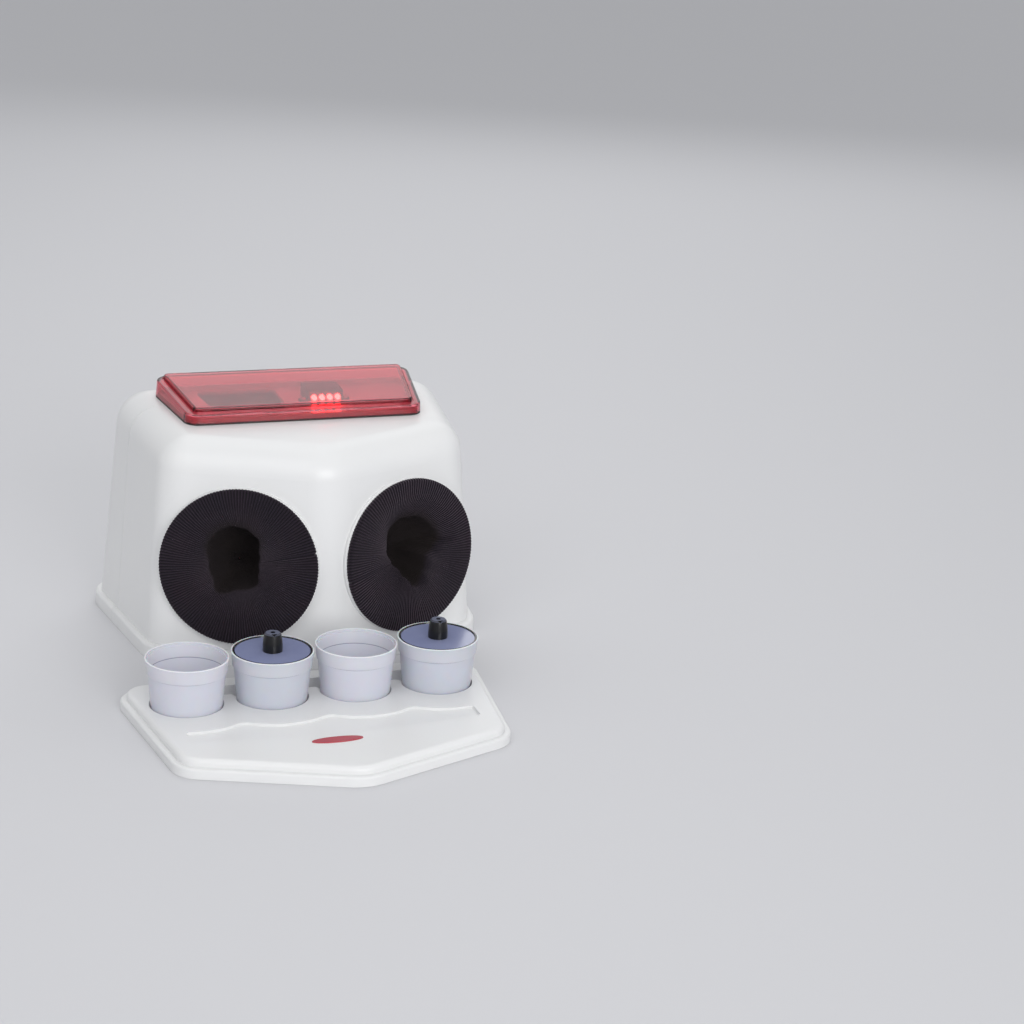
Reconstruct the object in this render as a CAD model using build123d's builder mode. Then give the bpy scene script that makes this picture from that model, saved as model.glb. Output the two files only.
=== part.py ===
from build123d import *
from math import atan, cos, degrees, pi, radians, sin, tan
import os

os.makedirs("parts", exist_ok=True)

# Plan shape that the tray and the hood share: a V front and sides that flare backwards
v_angle = 21.0
front_half = 151.0
back_half = 173.0
tray_depth = 240.0

# Tray
tray_height = 16.0
tray_wall = 3.0
ledge_width = 5.5
ledge_height = 9.0
tray_point_radius = 42.0
tray_side_radius = 28.0
tray_back_radius = 24.0
ledge_round = 2.0
plateau_round = 4.5
pocket_floor = 5.0
pocket_room = 1.0
land_setback = 12.0
land_round = 3.5
cup_pitch = 78.2
row_to_back_edge = 60.0
recess_depth = 2.5
recess_half = 132.0
recess_front_drop = 99.0
recess_end_drop = 86.0
recess_ring_radius = 65.0
recess_round = 3.5
recess_wave_round = 12.0
badge_length = 46.0
badge_width = 12.0
badge_thickness = 0.8
badge_drop = 110.0
badge_shift = -8.0

# Cups, lids and knobs
cup_rim_radius = 37.5
cup_height = 56.0
cup_base_radius = 31.3
cup_wall = 1.2
cup_floor = 1.6
band_height = 14.0
band_step = 1.2
band_taper = 1.4
cup_base_round = 1.5
cup_rim_round = 0.4
cup_rim_band = 1.2
cup_clearance = 1.2
lid_thickness = 1.8
lid_clearance = 0.35
lid_seat = 1.2
lid_sunk = 1.0
lid_rim_width = 1.6
lid_rim_rise = 0.9
lid_rim_round = 0.4
plug_wall = 1.6
plug_lead_in = 0.5
plug_depth = 6.0
knob_base_radius = 9.0
knob_top_radius = 7.6
knob_height = 17.5
knob_belly = 0.5
knob_edge = 1.2
knob_dimple_radius = 2.2
knob_dimple_depth = 2.0
knob_notch_half = 2.6
knob_notch_depth = 2.2
knob_pilot_depth = 10.0
knob_screw_radius = 1.75
knob_screw_length = 9.0

# Where the hood stands, seen from the middle of the cup row
hood_shift = 42.8
hood_gap_behind_tray = 24.0

# Hood shells
hood_clearance = 8.0
wall = 3.0
draft = 4.0
roof_front = 208.0
roof_slope = 4.0
roof_radius = 32.0
point_radius = 60.0
corner_radius = 34.0
back_radius = 36.0
skirt_height = 14.0
skirt_proud = 5.0
skirt_round = 3.0
seam_depth = 174.5
tongue_reach = 6.0
tongue_thickness = 2.0
tongue_clearance = 0.3
tongue_root_depth = 4.0
lip_window_gap = 1.0
seam_line_half = 0.4
seam_line_depth = 0.5

# Arm openings
boss_radius = 76.0
boss_over_skirt = 7.5
boss_to_ridge = 6.5
boss_proud = 4.0
boss_round = 2.0
boss_depth = 16.0
arm_height = skirt_height + boss_over_skirt + boss_radius
arm_across = boss_to_ridge + boss_radius
hoop_set_in = 2.0
hoop_width = 12.0
hoop_thickness = 4.0
hoop_outer = boss_radius - hoop_set_in
hoop_inner = hoop_outer - hoop_width
arm_hole_set_in = 2.0
arm_hole_radius = hoop_inner - arm_hole_set_in
cuff_set_in = 0.5
cuff_radius = boss_radius - cuff_set_in
cuff_thickness = 1.2
cuff_clearance = 0.3
cuff_edge_round = 0.96
cuff_throat_clearance = 0.5
cuff_face_hole_set_in = 1.0
cuff_mouth_width = 52.0
cuff_mouth_height = 72.0
cuff_mouth_depth = 16.0
cuff_sleeve_depth = 46.0
cuff_wrist_width = 40.0
cuff_wrist_height = 56.0
hoop_screw_circle = hoop_outer - hoop_width / 2
hoop_screw_count = 6
hoop_first_angle = 30.0
hoop_screw_shortfall = 1.4
hoop_bore_floor = 1.0
spot_face = 0.4

# Visor, its seal and the window under it, all set out on the sloping roof
visor_front = 111.0
visor_back = 214.0
visor_front_half = 117.0
visor_back_half = 132.0
visor_corner_radius = 14.0
visor_wall = 2.6
visor_draft = 4.0
visor_front_height = 9.0
visor_back_height = 16.5
panel_rise = 4.0
panel_inset = 9.0
panel_back_inset = 5.0
visor_edge_round = 1.6
visor_least_radius = 3.0
groove_width = 1.6
groove_depth = 1.2
seal_thickness = 1.5
seal_width = 2.4
seal_set_in = 0.1
curb_height = 5.0
curb_thickness = 2.4
curb_clearance = 1.2
window_front = 142.0
window_back = 203.0
window_left = -82.0
window_right = -10.0
window_radius = 6.0

# Lamp
lamp_x = 31.0
lamp_front = 158.0
lamp_length = 29.0
lamp_width = 37.0
lamp_height = 11.5
lamp_wall = 1.8
ear_length = 7.0
ear_width = 8.0
ear_round = 2.0
ear_root = 0.5
ear_thickness = 2.0
ear_setback = 5.5
lamp_corner_radius = 2.5
lamp_edge_round = 1.2
lamp_boss_radius = 4.0
lamp_boss_depth = 6.0
lamp_bore_floor = 1.0
lead_hole_radius = 2.5
lead_hole_setback = 23.5
led_count = 4
led_pitch = 8.0
led_radius = 2.5
led_length = 8.6
led_height = 5.2
diode_flange = 1.0
diode_flange_reach = 0.4
diode_clearance = 0.15
board_height = 9.2
board_thickness = 1.6
board_clearance = 0.2
board_rib_width = 2.4
board_rib_thickness = 1.2

# Fasteners: shank radius, head radius, head height
small_screw = (1.45, 2.8, 1.8)
cover_screw = (1.75, 3.5, 2.6)
screw_slot = 0.6
pilot_clearance = 0.05
bore_clearance = 0.25
head_clearance = 0.4
cover_bore_clearance = 0.45
cover_head_clearance = 0.3
post_radius = 5.6
post_wall_gap = 1.0
post_heights = (32.0, 150.0)
post_shoulder = 6.0
rib_length = 20.0
rib_thickness = 2.0
rib_share = 0.6
front_boss_radius = 4.5
front_boss_length = 24.0
boss_lap_clearance = 0.8
cover_screw_length = 20.0
cover_bore_room = 2.0
thread_floor = 1.5

# Power: three round cells behind a door in the rear cover, and a rocker switch
cell_radius = 7.1
cell_length = 49.5
cell_nub_radius = 2.7
cell_nub_length = 1.0
cell_count = 3
cell_play = 0.1
cell_back_gap = 0.4
cell_front_gap = 0.8
shelf_thickness = 0.8
shelf_past_axis = 1.0
battery_height = 112.0
battery_x = 31.0
box_wall = 1.6
box_flange = 6.0
box_corner_radius = 3.0
flange_thickness = 2.0
pad_thickness = 2.5
bay_corner_radius = 1.5
pad_bore_floor = 1.0
contact_room = 5.0
contact_thickness = 0.5
contact_size = 9.0
contact_gap = 0.05
spring_wire = 0.35
spring_radius = 3.0
spring_turns = 3
door_overlap = 5.0
door_thickness = 2.2
door_plug_depth = 3.0
door_plug_wall = 2.0
door_clearance = 0.4
door_corner_radius = 4.0
door_edge_round = 0.8
door_grip_length = 20.0
door_grip_width = 6.0
door_grip_depth = 1.0
door_grip_drop = 4.0
switch_x = -28.0
switch_length = 19.0
switch_width = 13.0
switch_depth = 15.0
switch_hole_play = 0.3
bezel_overlap = 1.6
bezel_thickness = 1.8
bezel_corner_radius = 1.5
bezel_round = 0.6
rocker_tilt = 8.0
rocker_half = 7.5
rocker_lift = 2.5
rocker_side_wall = 1.5
rocker_side_play = 0.3
rocker_end_play = 0.9
rocker_shoulder = 1.0
rocker_foot_half = 2.2
rocker_foot_depth = 3.0
rocker_pocket_depth = 6.0
pivot_radius = 1.0
pivot_half = 6.0
pivot_play = 0.2
pivot_sunk = 0.5
lead_radius = 1.0
lead_hole_play = 0.2
lead_stand = 10.0
lead_below_roof = 6.0
lead_end_gap = 0.3
link_u = 20.0
link_bow = 34.0
clip_height = 165.0
clip_share = 0.3
clip_size = 5.0
clip_play = 0.1
clip_mouth = 0.4

tan_v = tan(radians(v_angle))
cos_v = cos(radians(v_angle))
sin_v = sin(radians(v_angle))
tan_draft = tan(radians(draft))
cos_draft = cos(radians(draft))
sin_draft = sin(radians(draft))

# Corners of the plan, with the point of the V at its origin
v_rise = front_half * tan_v
plan_corners = [
    (0, 0),
    (front_half, v_rise),
    (back_half, tray_depth),
    (-back_half, tray_depth),
    (-front_half, v_rise),
]


def plan_outline(plane, grow, point_r, side_r, back_r):
    """The shared plan grown by an even margin, with its corners rounded."""
    with BuildSketch(plane) as outline:
        Polygon(*plan_corners, align=None)
        if grow:
            offset(amount=grow, kind=Kind.INTERSECTION)
        fillet(outline.vertices().sort_by(Axis.Y)[-2:], back_r)
        fillet(outline.vertices().sort_by(Axis.Y)[1:3], side_r)
        fillet(outline.vertices().sort_by(Axis.Y)[0], point_r)
    return outline.sketch


# The whole object is centred on its own box, so its two footprints are measured first
hood_margin = hood_clearance + wall
skirt_margin = hood_margin + skirt_proud
tray_print = plan_outline(Plane.XY, 0, tray_point_radius, tray_side_radius, tray_back_radius)
skirt_print = plan_outline(
    Plane.XY, skirt_margin, point_radius + skirt_proud, corner_radius + skirt_proud, back_radius + skirt_proud
)
tray_size = tray_print.bounding_box()
skirt_size = skirt_print.bounding_box()
skirt_point = skirt_margin / cos_v
tray_to_hood = tray_depth + hood_gap_behind_tray + skirt_point
x_low = tray_size.min.X
x_high = hood_shift + skirt_size.max.X
y_low = tray_size.min.Y
y_high = tray_to_hood + skirt_size.max.Y
tray_x = -(x_low + x_high) / 2
tray_y = -(y_low + y_high) / 2
row_y = tray_y + tray_depth - row_to_back_edge
hood_x = tray_x + hood_shift
plan_y = tray_y + tray_to_hood
hood_y = plan_y - hood_margin / cos_v

print("tray point", round(tray_x, 3), round(tray_y, 3), "cup row y", round(row_y, 3))
print("hood point", round(hood_x, 3), round(hood_y, 3))


def tray_plane(height):
    return Plane(origin=(tray_x, tray_y, height))


def row_plane(height):
    return Plane(origin=(tray_x, row_y, height))


cup_places = [(cup_pitch * (i - 1.5), 0) for i in range(4)]


# Tray: a stepped plateau with the cup trough and the film recess
pocket_radius = cup_base_radius + cup_clearance + pocket_room
plateau_radii = (
    tray_point_radius - ledge_width,
    tray_side_radius - ledge_width,
    tray_back_radius - ledge_width,
)


def trough_outline(plane, radius, front):
    """Four round pockets, joined behind the land that stands between the cups."""
    with BuildSketch(plane) as trough:
        with Locations(*cup_places):
            Circle(radius)
        with Locations((0, (radius + front) / 2)):
            Rectangle(3 * cup_pitch, radius - front)
        if front > 0:
            land_corners = trough.vertices().filter_by(lambda v: abs(v.Y - front) < 0.01)
            fillet(land_corners, land_round)
    return trough.sketch


def recess_outline(plane):
    """Shallow film recess: a wave of rings round the cups behind, a flat V in front."""
    with BuildSketch(plane) as recess:
        with BuildLine():
            Polyline(
                (-recess_half, -recess_end_drop),
                (0, -recess_front_drop),
                (recess_half, -recess_end_drop),
                (recess_half, -cup_rim_radius),
                (-recess_half, -cup_rim_radius),
                close=True,
            )
        make_face()
        with Locations(*cup_places):
            Circle(recess_ring_radius, mode=Mode.SUBTRACT)
        wave_crests = recess.vertices().sort_by(Axis.Y)[-3:]
        fillet(wave_crests, recess_wave_round)
        fillet(recess.vertices().sort_by(Axis.Y)[:5], recess_round)
    return recess.sketch


with BuildPart() as tray_hollow:
    extrude(
        plan_outline(
            tray_plane(0),
            -tray_wall,
            tray_point_radius - tray_wall,
            tray_side_radius - tray_wall,
            tray_back_radius - tray_wall,
        ),
        amount=ledge_height - tray_wall,
    )
    extrude(
        plan_outline(
            tray_plane(0),
            -ledge_width - tray_wall,
            plateau_radii[0] - tray_wall,
            plateau_radii[1] - tray_wall,
            plateau_radii[2] - tray_wall,
        ),
        amount=tray_height - tray_wall - recess_depth,
    )
    extrude(
        trough_outline(row_plane(pocket_floor - tray_wall), pocket_radius + tray_wall, 0),
        amount=tray_height,
        mode=Mode.SUBTRACT,
    )

with BuildPart() as tray:
    extrude(
        plan_outline(tray_plane(0), 0, tray_point_radius, tray_side_radius, tray_back_radius),
        amount=ledge_height,
    )
    fillet(tray.faces().sort_by(Axis.Z)[-1].edges(), ledge_round)
    extrude(plan_outline(tray_plane(0), -ledge_width, *plateau_radii), amount=tray_height)
    fillet(tray.faces().sort_by(Axis.Z)[-1].edges(), plateau_round)
    add(tray_hollow.part, mode=Mode.SUBTRACT)
    extrude(
        trough_outline(row_plane(pocket_floor), pocket_radius, land_setback),
        amount=tray_height,
        mode=Mode.SUBTRACT,
    )
    extrude(
        recess_outline(row_plane(tray_height - recess_depth)),
        amount=tray_height,
        mode=Mode.SUBTRACT,
    )
tray.part.label = "tray"
export_step(tray.part, "parts/tray.step")

with BuildPart() as tray_badge:
    with BuildSketch(Plane(origin=(tray_x + badge_shift, row_y - badge_drop, tray_height))):
        Ellipse(badge_length / 2, badge_width / 2)
    extrude(amount=badge_thickness)
    fillet(tray_badge.faces().sort_by(Axis.Z)[-1].edges(), badge_thickness / 2)
tray_badge.part.label = "tray_badge"
export_step(tray_badge.part, "parts/tray_badge.step")

# Cups: tapered, with a wider band at the top and a seat for the lid inside it
cup_top = pocket_floor + cup_height
band_bottom = cup_top - band_height
band_radius = cup_rim_radius - band_taper
neck_radius = band_radius - band_step
lid_top = cup_top - lid_sunk
lid_bottom = lid_top - lid_thickness


def wall_radius(height):
    """Outer radius of the plain lower wall at a height above the floor."""
    share = (height - pocket_floor) / (band_bottom - pocket_floor)
    return cup_base_radius + (neck_radius - cup_base_radius) * share


for number, place in enumerate(cup_places, start=1):
    with BuildPart() as cup:
        with BuildSketch(Plane(origin=(tray_x + place[0], row_y, 0), x_dir=(1, 0, 0), z_dir=(0, -1, 0))):
            with BuildLine():
                Polyline(
                    (0, pocket_floor),
                    (cup_base_radius - cup_base_round, pocket_floor),
                    (cup_base_radius, pocket_floor + cup_base_round),
                    (neck_radius, band_bottom),
                    (band_radius, band_bottom + band_step / 2),
                    (cup_rim_radius - cup_rim_round, cup_top - cup_rim_band - cup_rim_round),
                    (cup_rim_radius, cup_top - cup_rim_band),
                    (cup_rim_radius, cup_top - cup_rim_round),
                    (cup_rim_radius - cup_rim_round, cup_top),
                    (cup_rim_radius - cup_wall, cup_top),
                    (cup_rim_radius - cup_wall, lid_bottom),
                    (cup_rim_radius - cup_wall - lid_seat, lid_bottom),
                    (neck_radius - cup_wall, band_bottom - band_step),
                    (cup_base_radius - cup_wall, pocket_floor + cup_floor + cup_base_round),
                    (cup_base_radius - cup_wall - cup_base_round, pocket_floor + cup_floor),
                    (0, pocket_floor + cup_floor),
                    close=True,
                )
            make_face()
        revolve(axis=Axis((tray_x + place[0], row_y, 0), (0, 0, 1)))
    cup.part.label = f"cup_{number}"
    export_step(cup.part, f"parts/cup_{number}.step")

# Lids with their knobs and the screws that hold them
lid_radius = cup_rim_radius - cup_wall - lid_clearance
plug_radius = neck_radius - cup_wall - lid_clearance
knob_pilot = knob_screw_radius + pilot_clearance
for number in (2, 4):
    lid_x = tray_x + cup_places[number - 1][0]
    lid_axis = Axis((lid_x, row_y, 0), (0, 0, 1))
    with BuildPart() as lid:
        with BuildSketch(Plane(origin=(lid_x, row_y, 0), x_dir=(1, 0, 0), z_dir=(0, -1, 0))):
            with BuildLine():
                Polyline(
                    (knob_pilot, lid_bottom),
                    (plug_radius - plug_wall, lid_bottom),
                    (plug_radius - plug_wall, lid_bottom - plug_depth),
                    (plug_radius - plug_lead_in, lid_bottom - plug_depth),
                    (plug_radius, lid_bottom),
                    (lid_radius, lid_bottom),
                    (lid_radius, lid_top + lid_rim_rise - lid_rim_round),
                    (lid_radius - lid_rim_round, lid_top + lid_rim_rise),
                    (lid_radius - lid_rim_width + lid_rim_round, lid_top + lid_rim_rise),
                    (lid_radius - lid_rim_width, lid_top),
                    (knob_pilot, lid_top),
                    close=True,
                )
            make_face()
        revolve(axis=lid_axis)
    lid.part.label = f"lid_{number}"
    export_step(lid.part, f"parts/lid_{number}.step")

    knob_top = lid_top + knob_height
    with BuildPart() as knob:
        with BuildSketch(Plane(origin=(lid_x, row_y, 0), x_dir=(1, 0, 0), z_dir=(0, -1, 0))):
            with BuildLine():
                Line((0, lid_top), (knob_base_radius, lid_top))
                ThreePointArc(
                    (knob_base_radius, lid_top),
                    ((knob_base_radius + knob_top_radius) / 2 + knob_belly, lid_top + knob_height / 2),
                    (knob_top_radius, knob_top - knob_edge),
                )
                Line((knob_top_radius, knob_top - knob_edge), (knob_top_radius - knob_edge, knob_top))
                Line((knob_top_radius - knob_edge, knob_top), (0, knob_top))
                Line((0, knob_top), (0, lid_top))
            make_face()
        revolve(axis=lid_axis)
        with BuildSketch(Plane(origin=(lid_x, row_y, knob_top))):
            Circle(knob_dimple_radius)
        extrude(amount=-knob_dimple_depth, mode=Mode.SUBTRACT)
        with BuildSketch(
            Plane(origin=(lid_x, row_y - knob_top_radius, knob_top), x_dir=(1, 0, 0), z_dir=(0, -1, 0))
        ):
            with BuildLine():
                Polyline((-knob_notch_half, 0), (knob_notch_half, 0), (0, -knob_notch_depth), close=True)
            make_face()
        extrude(amount=knob_notch_half, both=True, mode=Mode.SUBTRACT)
        with BuildSketch(Plane(origin=(lid_x, row_y, lid_top))):
            Circle(knob_pilot)
        extrude(amount=knob_pilot_depth, mode=Mode.SUBTRACT)
    knob.part.label = f"knob_{number}"
    export_step(knob.part, f"parts/knob_{number}.step")


def slotted_screw(plane, shank_radius, head_radius, head_height, length):
    """A pan-head screw: its seat is the plane, its shank runs along the plane's normal."""
    with BuildPart() as screw:
        with BuildSketch(plane):
            Circle(shank_radius)
        extrude(amount=length)
        with BuildSketch(plane):
            Circle(head_radius)
        extrude(amount=-head_height)
        flats = screw.faces().filter_by(GeomType.PLANE)
        head_face = flats.sort_by(lambda face: (face.center() - plane.origin).dot(plane.z_dir))[0]
        fillet(head_face.edges(), head_height / 3)
        with BuildSketch(plane.offset(-head_height)):
            Rectangle(2 * head_radius, screw_slot)
        extrude(amount=head_height / 2, mode=Mode.SUBTRACT)
    return screw.part


for number in (2, 4):
    lid_x = tray_x + cup_places[number - 1][0]
    seat = Plane(origin=(lid_x, row_y, lid_bottom))
    with BuildPart() as knob_screw:
        add(slotted_screw(seat, knob_screw_radius, small_screw[1], small_screw[2], knob_screw_length))
    knob_screw.part.label = f"knob_screw_{number}"
    export_step(knob_screw.part, f"parts/knob_screw_{number}.step")

# Hood
hood_floor = Plane(origin=(hood_x, plan_y, 0))
roof_plane = Plane(
    origin=(hood_x, hood_y, roof_front),
    x_dir=(1, 0, 0),
    z_dir=(0, -sin(radians(roof_slope)), cos(radians(roof_slope))),
)


def upright_edges(body):
    return body.edges().filter_by(lambda e: abs(e.tangent_at(0.5).Z) > 0.8).sort_by(Axis.Y)


def hood_body(grow):
    """The hood as one solid block, grown by an even margin."""
    with BuildPart() as body:
        with BuildSketch(hood_floor):
            Polygon(*plan_corners, align=None)
            offset(amount=hood_margin + grow, kind=Kind.INTERSECTION)
        extrude(amount=roof_front + tray_depth * tan(radians(roof_slope)) + wall, taper=draft)
        split(bisect_by=roof_plane.offset(grow), keep=Keep.BOTTOM)
        fillet(upright_edges(body)[-2:], back_radius + grow)
        fillet(upright_edges(body)[1:3], corner_radius + grow)
        fillet(upright_edges(body)[0], point_radius + grow)
        fillet(body.faces().sort_by(Axis.Z)[-1].edges(), roof_radius + grow)
    return body.part


def facet_y(across, height):
    """How far behind the hood's point its front facet lies."""
    return hood_y + across * tan_v + height * tan_draft / cos_v


def arm_plane(side, lift=0.0):
    """The plane of one arm opening, lifted off the facet along its outward normal."""
    normal = Vector(side * sin_v * cos_draft, -cos_v * cos_draft, sin_draft)
    middle = Vector(hood_x + side * arm_across, facet_y(arm_across, arm_height), arm_height)
    return Plane(origin=middle + normal * lift, x_dir=(cos_v, side * sin_v, 0), z_dir=normal)


def visor_outline(plane, inset, back_inset=None):
    """The visor's plan on the roof, drawn in by an even margin, its back edge by its own."""
    back_inset = inset if back_inset is None else back_inset
    flare = (visor_back_half - visor_front_half) / (visor_back - visor_front)
    front = visor_front + inset
    back = visor_back - back_inset
    front_x = visor_front_half + flare * inset - inset
    back_x = visor_back_half - flare * back_inset - inset
    with BuildSketch(plane) as outline:
        Polygon((-front_x, front), (front_x, front), (back_x, back), (-back_x, back), align=None)
        fillet(outline.vertices(), max(visor_corner_radius - inset, visor_least_radius))
    return outline.sketch


def window_outline(plane, grow):
    """The window in the roof, beside the lamp; its left edge follows the visor's flare."""
    flare = (visor_back_half - visor_front_half) / (visor_back - visor_front)
    with BuildSketch(plane) as window:
        Polygon(
            (window_left, window_front),
            (window_right, window_front),
            (window_right, window_back),
            (window_left - flare * (window_back - window_front), window_back),
            align=None,
        )
        fillet(window.vertices(), window_radius)
        if grow:
            offset(amount=grow)
    return window.sketch


outer_body = hood_body(0)
cavity = hood_body(-wall)
curb_inset = visor_wall + curb_clearance
seam_y = hood_y + seam_depth

# The four long screws of the rear cover run forward through posts into the front shell
plan_at_seam = seam_y - plan_y
seam_half = front_half + (back_half - front_half) * (plan_at_seam - v_rise) / (tray_depth - v_rise)
flank_run = tray_depth - v_rise
flank_rise = back_half - front_half
flank_margin = hood_margin * (flank_run**2 + flank_rise**2) ** 0.5 / flank_run
post_x = seam_half + flank_margin - wall - post_radius - post_wall_gap
arm_cut_depth = arm_hole_radius * 2 / 3
back_y = plan_y + tray_depth + hood_margin


def post_places():
    """Middle of each screw at the seam, with the side that it lies on."""
    return [
        (side, hood_x + side * (post_x - height * tan_draft), height)
        for side in (-1, 1)
        for height in post_heights
    ]


def seam_plane(x, z, back=0.0):
    return Plane(origin=(x, seam_y + back, z), x_dir=(1, 0, 0), z_dir=(0, -1, 0))


def seam_slab(front, back):
    """A slab across the hood between two distances from the seam."""
    with BuildPart() as slab:
        with BuildSketch(seam_plane(hood_x, 0, back)):
            Rectangle(4 * back_half, 4 * back_half)
        extrude(amount=front + back)
    return slab.part


def skirt_block(shrink):
    """The skirt as one solid block, drawn in by an even margin."""
    with BuildPart() as block:
        extrude(
            plan_outline(
                hood_floor,
                skirt_margin - shrink,
                point_radius + skirt_proud - shrink,
                corner_radius + skirt_proud - shrink,
                back_radius + skirt_proud - shrink,
            ),
            amount=skirt_height - shrink,
        )
        fillet(block.faces().sort_by(Axis.Z)[-1].edges(), skirt_round - shrink)
    return block.part


def back_plane(x, height, lift=0.0):
    """A plane on the outer face of the rear wall, its normal pointing out of the hood."""
    normal = Vector(0, cos_draft, sin_draft)
    middle = Vector(hood_x + x, back_y - height * tan_draft, height)
    return Plane(origin=middle + normal * lift, x_dir=(-1, 0, 0), z_dir=normal)


def roof_at(x, s, lift=0.0):
    """A plane parallel to the roof, placed by its distance s behind the hood's front ridge."""
    return Plane(
        origin=roof_plane.origin + roof_plane.x_dir * x + roof_plane.y_dir * s + roof_plane.z_dir * lift,
        x_dir=roof_plane.x_dir,
        z_dir=roof_plane.z_dir,
    )


# Battery box measures, used by the pad, the hole and the door as well
cell_pitch = 2 * cell_radius + shelf_thickness + 2 * cell_play
bay_width = cell_length + cell_nub_length + contact_room
bay_height = cell_count * cell_pitch - shelf_thickness
pad_width = bay_width + 2 * (box_wall + box_flange)
pad_height = bay_height + 2 * (box_wall + box_flange)
flange_seat = -(wall + pad_thickness)
cell_axis = -(door_plug_depth + cell_front_gap + cell_radius)
bay_back = cell_axis - cell_radius - cell_back_gap
box_screw_x = bay_width / 2 + box_wall + box_flange / 2
box_screw_y = bay_height / 2 + box_wall + box_flange / 2

# Lamp screws and the hole for the lead
ear_x = lamp_width / 2 + ear_length / 2
ear_s = lamp_front + ear_setback
lamp_screw_length = ear_thickness + wall + lamp_boss_depth - thread_floor
lead_hole_s = lamp_front + lead_hole_setback

with BuildPart() as fittings:
    for side, x, z in post_places():
        with BuildSketch(seam_plane(x, z)):
            Circle(post_radius)
        extrude(amount=-(back_y - seam_y))
        with BuildSketch(seam_plane(x, z)):
            Circle(front_boss_radius)
        extrude(amount=front_boss_length)
        with BuildSketch(seam_plane(x + side * rib_length / 2, z)):
            Rectangle(rib_length, rib_thickness)
        extrude(amount=-(back_y - seam_y) * rib_share)
        with BuildSketch(seam_plane(x + side * rib_length / 2, z)):
            Rectangle(rib_length, rib_thickness)
        extrude(amount=front_boss_length)
    with BuildSketch(back_plane(battery_x, battery_height, -wall / 2)):
        RectangleRounded(pad_width, pad_height, box_corner_radius)
    extrude(amount=flange_seat + wall / 2)
    for side in (-1, 1):
        with BuildSketch(roof_at(lamp_x + side * ear_x, ear_s, -wall / 2)):
            Circle(lamp_boss_radius)
        extrude(amount=-(wall / 2 + lamp_boss_depth))
    add(hood_body(-wall / 2), mode=Mode.INTERSECT)

# A fine groove shows where the two shells meet; it stops at the visor, so the curb stays whole
with BuildPart() as seam_line:
    add(seam_slab(seam_line_half, seam_line_half))
    add(hood_body(-seam_line_depth), mode=Mode.SUBTRACT)
    add(skirt_block(seam_line_depth), mode=Mode.SUBTRACT)
    extrude(visor_outline(roof_plane.offset(-wall), 0), amount=wall + roof_radius, mode=Mode.SUBTRACT)

hoop_seat = -wall + spot_face
with BuildPart() as shell:
    add(skirt_block(0))
    add(outer_body)
    for side in (-1, 1):
        with BuildSketch(arm_plane(side, boss_proud)):
            Circle(boss_radius)
        extrude(amount=-boss_proud - boss_depth)
    boss_rims = shell.edges().filter_by(GeomType.CIRCLE).filter_by(
        lambda e: abs(e.radius - boss_radius) < 0.01 and e.length > boss_radius * 6
    )
    fillet(boss_rims, boss_round)
    extrude(visor_outline(roof_plane.offset(-wall), curb_inset), amount=wall + curb_height)
    extrude(
        visor_outline(roof_plane, curb_inset + curb_thickness), amount=curb_height, mode=Mode.SUBTRACT
    )
    add(cavity, mode=Mode.SUBTRACT)
    for side in (-1, 1):
        with BuildSketch(arm_plane(side, boss_proud)):
            Circle(arm_hole_radius)
        extrude(amount=-arm_cut_depth, mode=Mode.SUBTRACT)
        with BuildSketch(arm_plane(side, boss_proud)):
            with PolarLocations(hoop_screw_circle, hoop_screw_count, start_angle=hoop_first_angle):
                Circle(small_screw[0] + pilot_clearance)
        extrude(amount=-boss_depth - boss_proud, mode=Mode.SUBTRACT)
        with BuildSketch(arm_plane(side, hoop_seat)):
            with PolarLocations(hoop_screw_circle, hoop_screw_count, start_angle=hoop_first_angle):
                Circle(small_screw[1] + head_clearance)
        extrude(amount=-boss_depth, mode=Mode.SUBTRACT)
    extrude(window_outline(roof_plane.offset(-wall * 2), 0), amount=wall * 4, mode=Mode.SUBTRACT)
    add(seam_line.part, mode=Mode.SUBTRACT)
    add(fittings.part)
    # Screw bores: wide from the rear, narrow at the seam, blind in the front shell
    for side, x, z in post_places():
        with BuildSketch(seam_plane(x, z, post_shoulder)):
            Circle(cover_screw[1] + cover_head_clearance)
        extrude(amount=-(back_y - seam_y), mode=Mode.SUBTRACT)
        with BuildSketch(seam_plane(x, z, post_shoulder)):
            Circle(cover_screw[0] + cover_bore_clearance)
        extrude(amount=post_shoulder, mode=Mode.SUBTRACT)
        with BuildSketch(seam_plane(x, z)):
            Circle(cover_screw[0] + pilot_clearance)
        extrude(amount=cover_screw_length - post_shoulder + cover_bore_room, mode=Mode.SUBTRACT)
    for side in (-1, 1):
        with BuildSketch(roof_at(lamp_x + side * ear_x, ear_s)):
            Circle(small_screw[0] + pilot_clearance)
        extrude(amount=-(wall + lamp_boss_depth - lamp_bore_floor), mode=Mode.SUBTRACT)
    with BuildSketch(roof_at(lamp_x, lead_hole_s)):
        Circle(lead_hole_radius)
    extrude(amount=-2 * wall, mode=Mode.SUBTRACT)
    with BuildSketch(back_plane(battery_x, battery_height, wall)):
        RectangleRounded(bay_width, bay_height, bay_corner_radius)
    extrude(amount=flange_seat - 2 * wall, mode=Mode.SUBTRACT)
    with BuildSketch(back_plane(battery_x, battery_height, flange_seat)):
        with GridLocations(2 * box_screw_x, 2 * box_screw_y, 2, 2):
            Circle(small_screw[0] + pilot_clearance)
    extrude(amount=pad_thickness + wall - pad_bore_floor, mode=Mode.SUBTRACT)
    with BuildSketch(back_plane(switch_x, battery_height, wall)):
        Rectangle(switch_width + switch_hole_play, switch_length + switch_hole_play)
    extrude(amount=-3 * wall, mode=Mode.SUBTRACT)

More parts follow.
